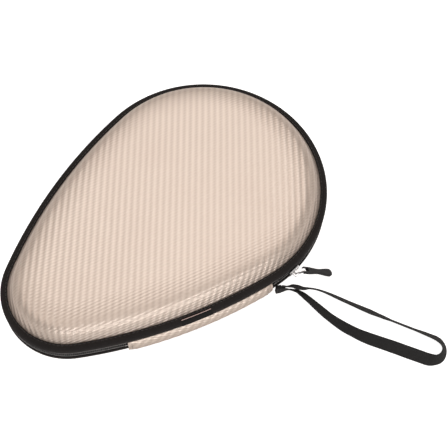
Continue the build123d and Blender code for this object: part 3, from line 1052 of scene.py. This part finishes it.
def make_tab():
    """The folded webbing tab that the strap's ends are sewn into, with its box of stitches."""
    low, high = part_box("strap_tack")
    middle = (low + high) / 2
    turn = Matrix((tack_forward, tack_side, Vector((0, 0, 1)))).transposed().to_4x4()
    bm = bmesh.new()
    bmesh.ops.create_cube(
        bm, size=1,
        matrix=Matrix.Translation(middle) @ turn @ Matrix.Diagonal((4.6 * MM, 3.6 * MM, 9.6 * MM, 1)),
    )
    bmesh.ops.bevel(
        bm, geom=bm.edges[:], offset=0.7 * MM, segments=3, profile=0.5, affect="EDGES", material=-1
    )
    uv = bm.loops.layers.uv.new("UVMap")
    for face in bm.faces:
        for loop in face.loops:
            away = loop.vert.co - middle
            loop[uv].uv = (away.dot(tack_forward) + away.dot(tack_side), away.z)
    settle(make_piece(bm, "strap_tab", WEBBING), "base", "strap_webbing", "strap_tack")
    bm = bmesh.new()
    face_middle = middle - tack_side * 1.86 * MM
    for step in range(5):
        height = Vector((0, 0, (step - 2) * 1.8 * MM))
        for end in (-1.3, 1.3):
            place = face_middle + height + tack_forward * end * MM
            add_stitch(bm, place, Vector((0, 0, 1)), 1.3 * MM, 0.18 * MM)
    settle(make_piece(bm, "strap_tab_stitches", BLACK_THREAD), "base", "strap_webbing")


make_tab()


# ---------------------------------------------------------------- linings and band

def make_lining(half, body, side):
    """The brushed lining bonded inside one half, with its lip turned over the foam."""
    mouth = 8.9 * MM
    height = 20.7 * MM
    bend = 9.7 * MM
    reach = height - bend
    arc_inset = mouth + (reach - flange_height) * tan(draft) + bend / cos(draft)
    profile = [(6.3 * MM, 5.9 * MM), (8.3 * MM, 5.8 * MM), (mouth, 6.2 * MM)]
    for part in range(9):
        turn = draft + (pi / 2 - draft) * part / 8
        profile.append((arc_inset - bend * cos(turn), reach + bend * sin(turn)))
    for further in (24, 32, 40, 44):
        profile.append((further * MM, height))
    bm = full_ring(profile, side, closed=False)
    inner = [edge for edge in bm.edges if edge.is_boundary and abs(edge.verts[0].co.z - mid_height)
             > height - 1 * MM]
    bmesh.ops.contextual_create(bm, geom=inner)
    uv = bm.loops.layers.uv.new("UVMap")
    for face in bm.faces:
        for loop in face.loops:
            loop[uv].uv = (loop.vert.co.x, loop.vert.co.y + loop.vert.co.z)
    piece = make_piece(bm, f"{half}_lining_cloth", LINING)
    add_thickness(piece, 0.5 * MM, side)
    return settle(piece, body, "lining_cloth", f"{half}_lining")


def make_band():
    """The elastic band that holds the paddle's handle, with its feet sewn to the floor."""
    low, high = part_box("elastic_band")
    feet_low, feet_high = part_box("band_tacks")
    middle_x = (low.x + high.x) / 2
    half_span = (high.y - low.y) / 2
    rise = high.z - low.z
    radius = (half_span ** 2 + rise ** 2) / (2 * rise)
    bm = bmesh.new()
    bmesh.ops.create_grid(
        bm, x_segments=12, y_segments=48, size=1,
        matrix=Matrix.Translation((middle_x, 0, low.z)) @ Matrix.Diagonal(
            ((high.x - low.x) / 2, feet_high.y, 1, 1)),
    )
    uv = bm.loops.layers.uv.new("UVMap")
    for face in bm.faces:
        for loop in face.loops:
            loop[uv].uv = (loop.vert.co.y, loop.vert.co.x)
    for vert in bm.verts:
        away = abs(vert.co.y)
        if away < half_span:
            vert.co.z += sqrt(radius ** 2 - away ** 2) - (radius - rise)
        narrow = 1 - 0.06 * cos(vert.co.y / half_span * pi / 2) ** 2 if away < half_span else 1
        vert.co.x = middle_x + (vert.co.x - middle_x) * narrow
        vert.co.z += 0.9 * MM
    band = make_piece(bm, "handle_band", ELASTIC)
    add_thickness(band, 0.9 * MM, 1)
    settle(band, "base", "elastic", "elastic_band", "band_tacks")
    bm = bmesh.new()
    for side in (-1, 1):
        for row in (half_span + 2.2 * MM, half_span + 6.6 * MM):
            for step in range(7):
                place = Vector((middle_x + (step - 3) * 2.6 * MM, side * row, low.z + 1.0 * MM))
                add_stitch(bm, place, Vector((1, 0, 0)), 1.9 * MM, 0.2 * MM)
    settle(make_piece(bm, "band_stitches", BLACK_THREAD), "base", "elastic")


make_lining("front", "lid", 1)
make_lining("back", "base", -1)
make_band()


# ---------------------------------------------------------------- nodes that keep their frame shape

def finish_node(node, material):
    """Give a frame node its material."""
    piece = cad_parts[node]
    piece.data.materials.clear()
    piece.data.materials.append(material)


for plain_node in ("zip_slider", "slider_bail", "pull_link", "zip_stops"):
    finish_node(plain_node, METAL)
finish_node("zip_pull", GRIP)
for plain_node in ("front_shell", "back_shell"):
    finish_node(plain_node, FOAM)


# ---------------------------------------------------------------- room

def make_floor():
    """A plain pale floor."""
    bm = bmesh.new()
    bmesh.ops.create_grid(bm, x_segments=1, y_segments=1, size=4)
    material, tree, surface = new_material(
        "pale_floor", Base_Color=(0.80, 0.80, 0.80, 1), Roughness=0.9, Emission_Color=(1, 1, 1, 1),
    )
    seen = add_node(tree, "ShaderNodeLightPath").outputs["Is Camera Ray"]
    tree.links.new(math_node(tree, "MULTIPLY", seen, 0.9), surface["Emission Strength"])
    floor = make_piece(bm, "floor", material)


def add_light(name, place, target, width, height, power, tone=(1, 1, 1)):
    """A soft rectangular light that faces a point."""
    light = bpy.data.lights.new(name, "AREA")
    light.shape = "RECTANGLE"
    light.size = width
    light.size_y = height
    light.energy = power
    light.color = tone
    lamp = bpy.data.objects.new(name, light)
    bpy.context.scene.collection.objects.link(lamp)
    lamp.location = place
    lamp.rotation_euler = (Vector(target) - Vector(place)).to_track_quat("-Z", "Y").to_euler()


def light_room():
    """A white room, dimmer at half height, with a large light overhead and a low strip."""
    world = bpy.data.worlds.new("room")
    world.use_nodes = True
    tree = world.node_tree
    way = add_node(tree, "ShaderNodeTexCoord").outputs["Generated"]
    height = add_node(tree, "ShaderNodeSeparateXYZ", {"Vector": way}).outputs["Z"]
    ramp = add_node(tree, "ShaderNodeValToRGB", {"Fac": height})
    ramp.color_ramp.elements[0].color = (0.62, 0.60, 0.58, 1)
    ramp.color_ramp.elements[1].color = (0.24, 0.22, 0.21, 1)
    for place, tone in ((0.24, 0.30), (0.58, 0.26), (0.74, 0.98), (0.935, 0.98), (0.965, 0.25)):
        ramp.color_ramp.elements.new(place).color = (tone, tone * 0.93, tone * 0.88, 1)
    seen = add_node(tree, "ShaderNodeLightPath").outputs["Is Camera Ray"]
    tone = mix_colours(tree, seen, ramp.outputs["Color"], (1, 1, 1, 1))
    tree.links.new(tone, tree.nodes["Background"].inputs["Color"])
    tree.nodes["Background"].inputs["Strength"].default_value = 1.0
    bpy.context.scene.world = world
    add_light("overhead", (0.35, 0.40, 1.15), (0, 0, 0), 1.1, 1.1, 2.6)
    add_light("low_strip", (-0.42, -0.92, 0.26), (0, -0.03, 0.03), 1.3, 0.07, 2.8)
    settings = bpy.context.scene.view_settings
    settings.view_transform = "Standard"
    settings.look = "None"


make_floor()
light_room()
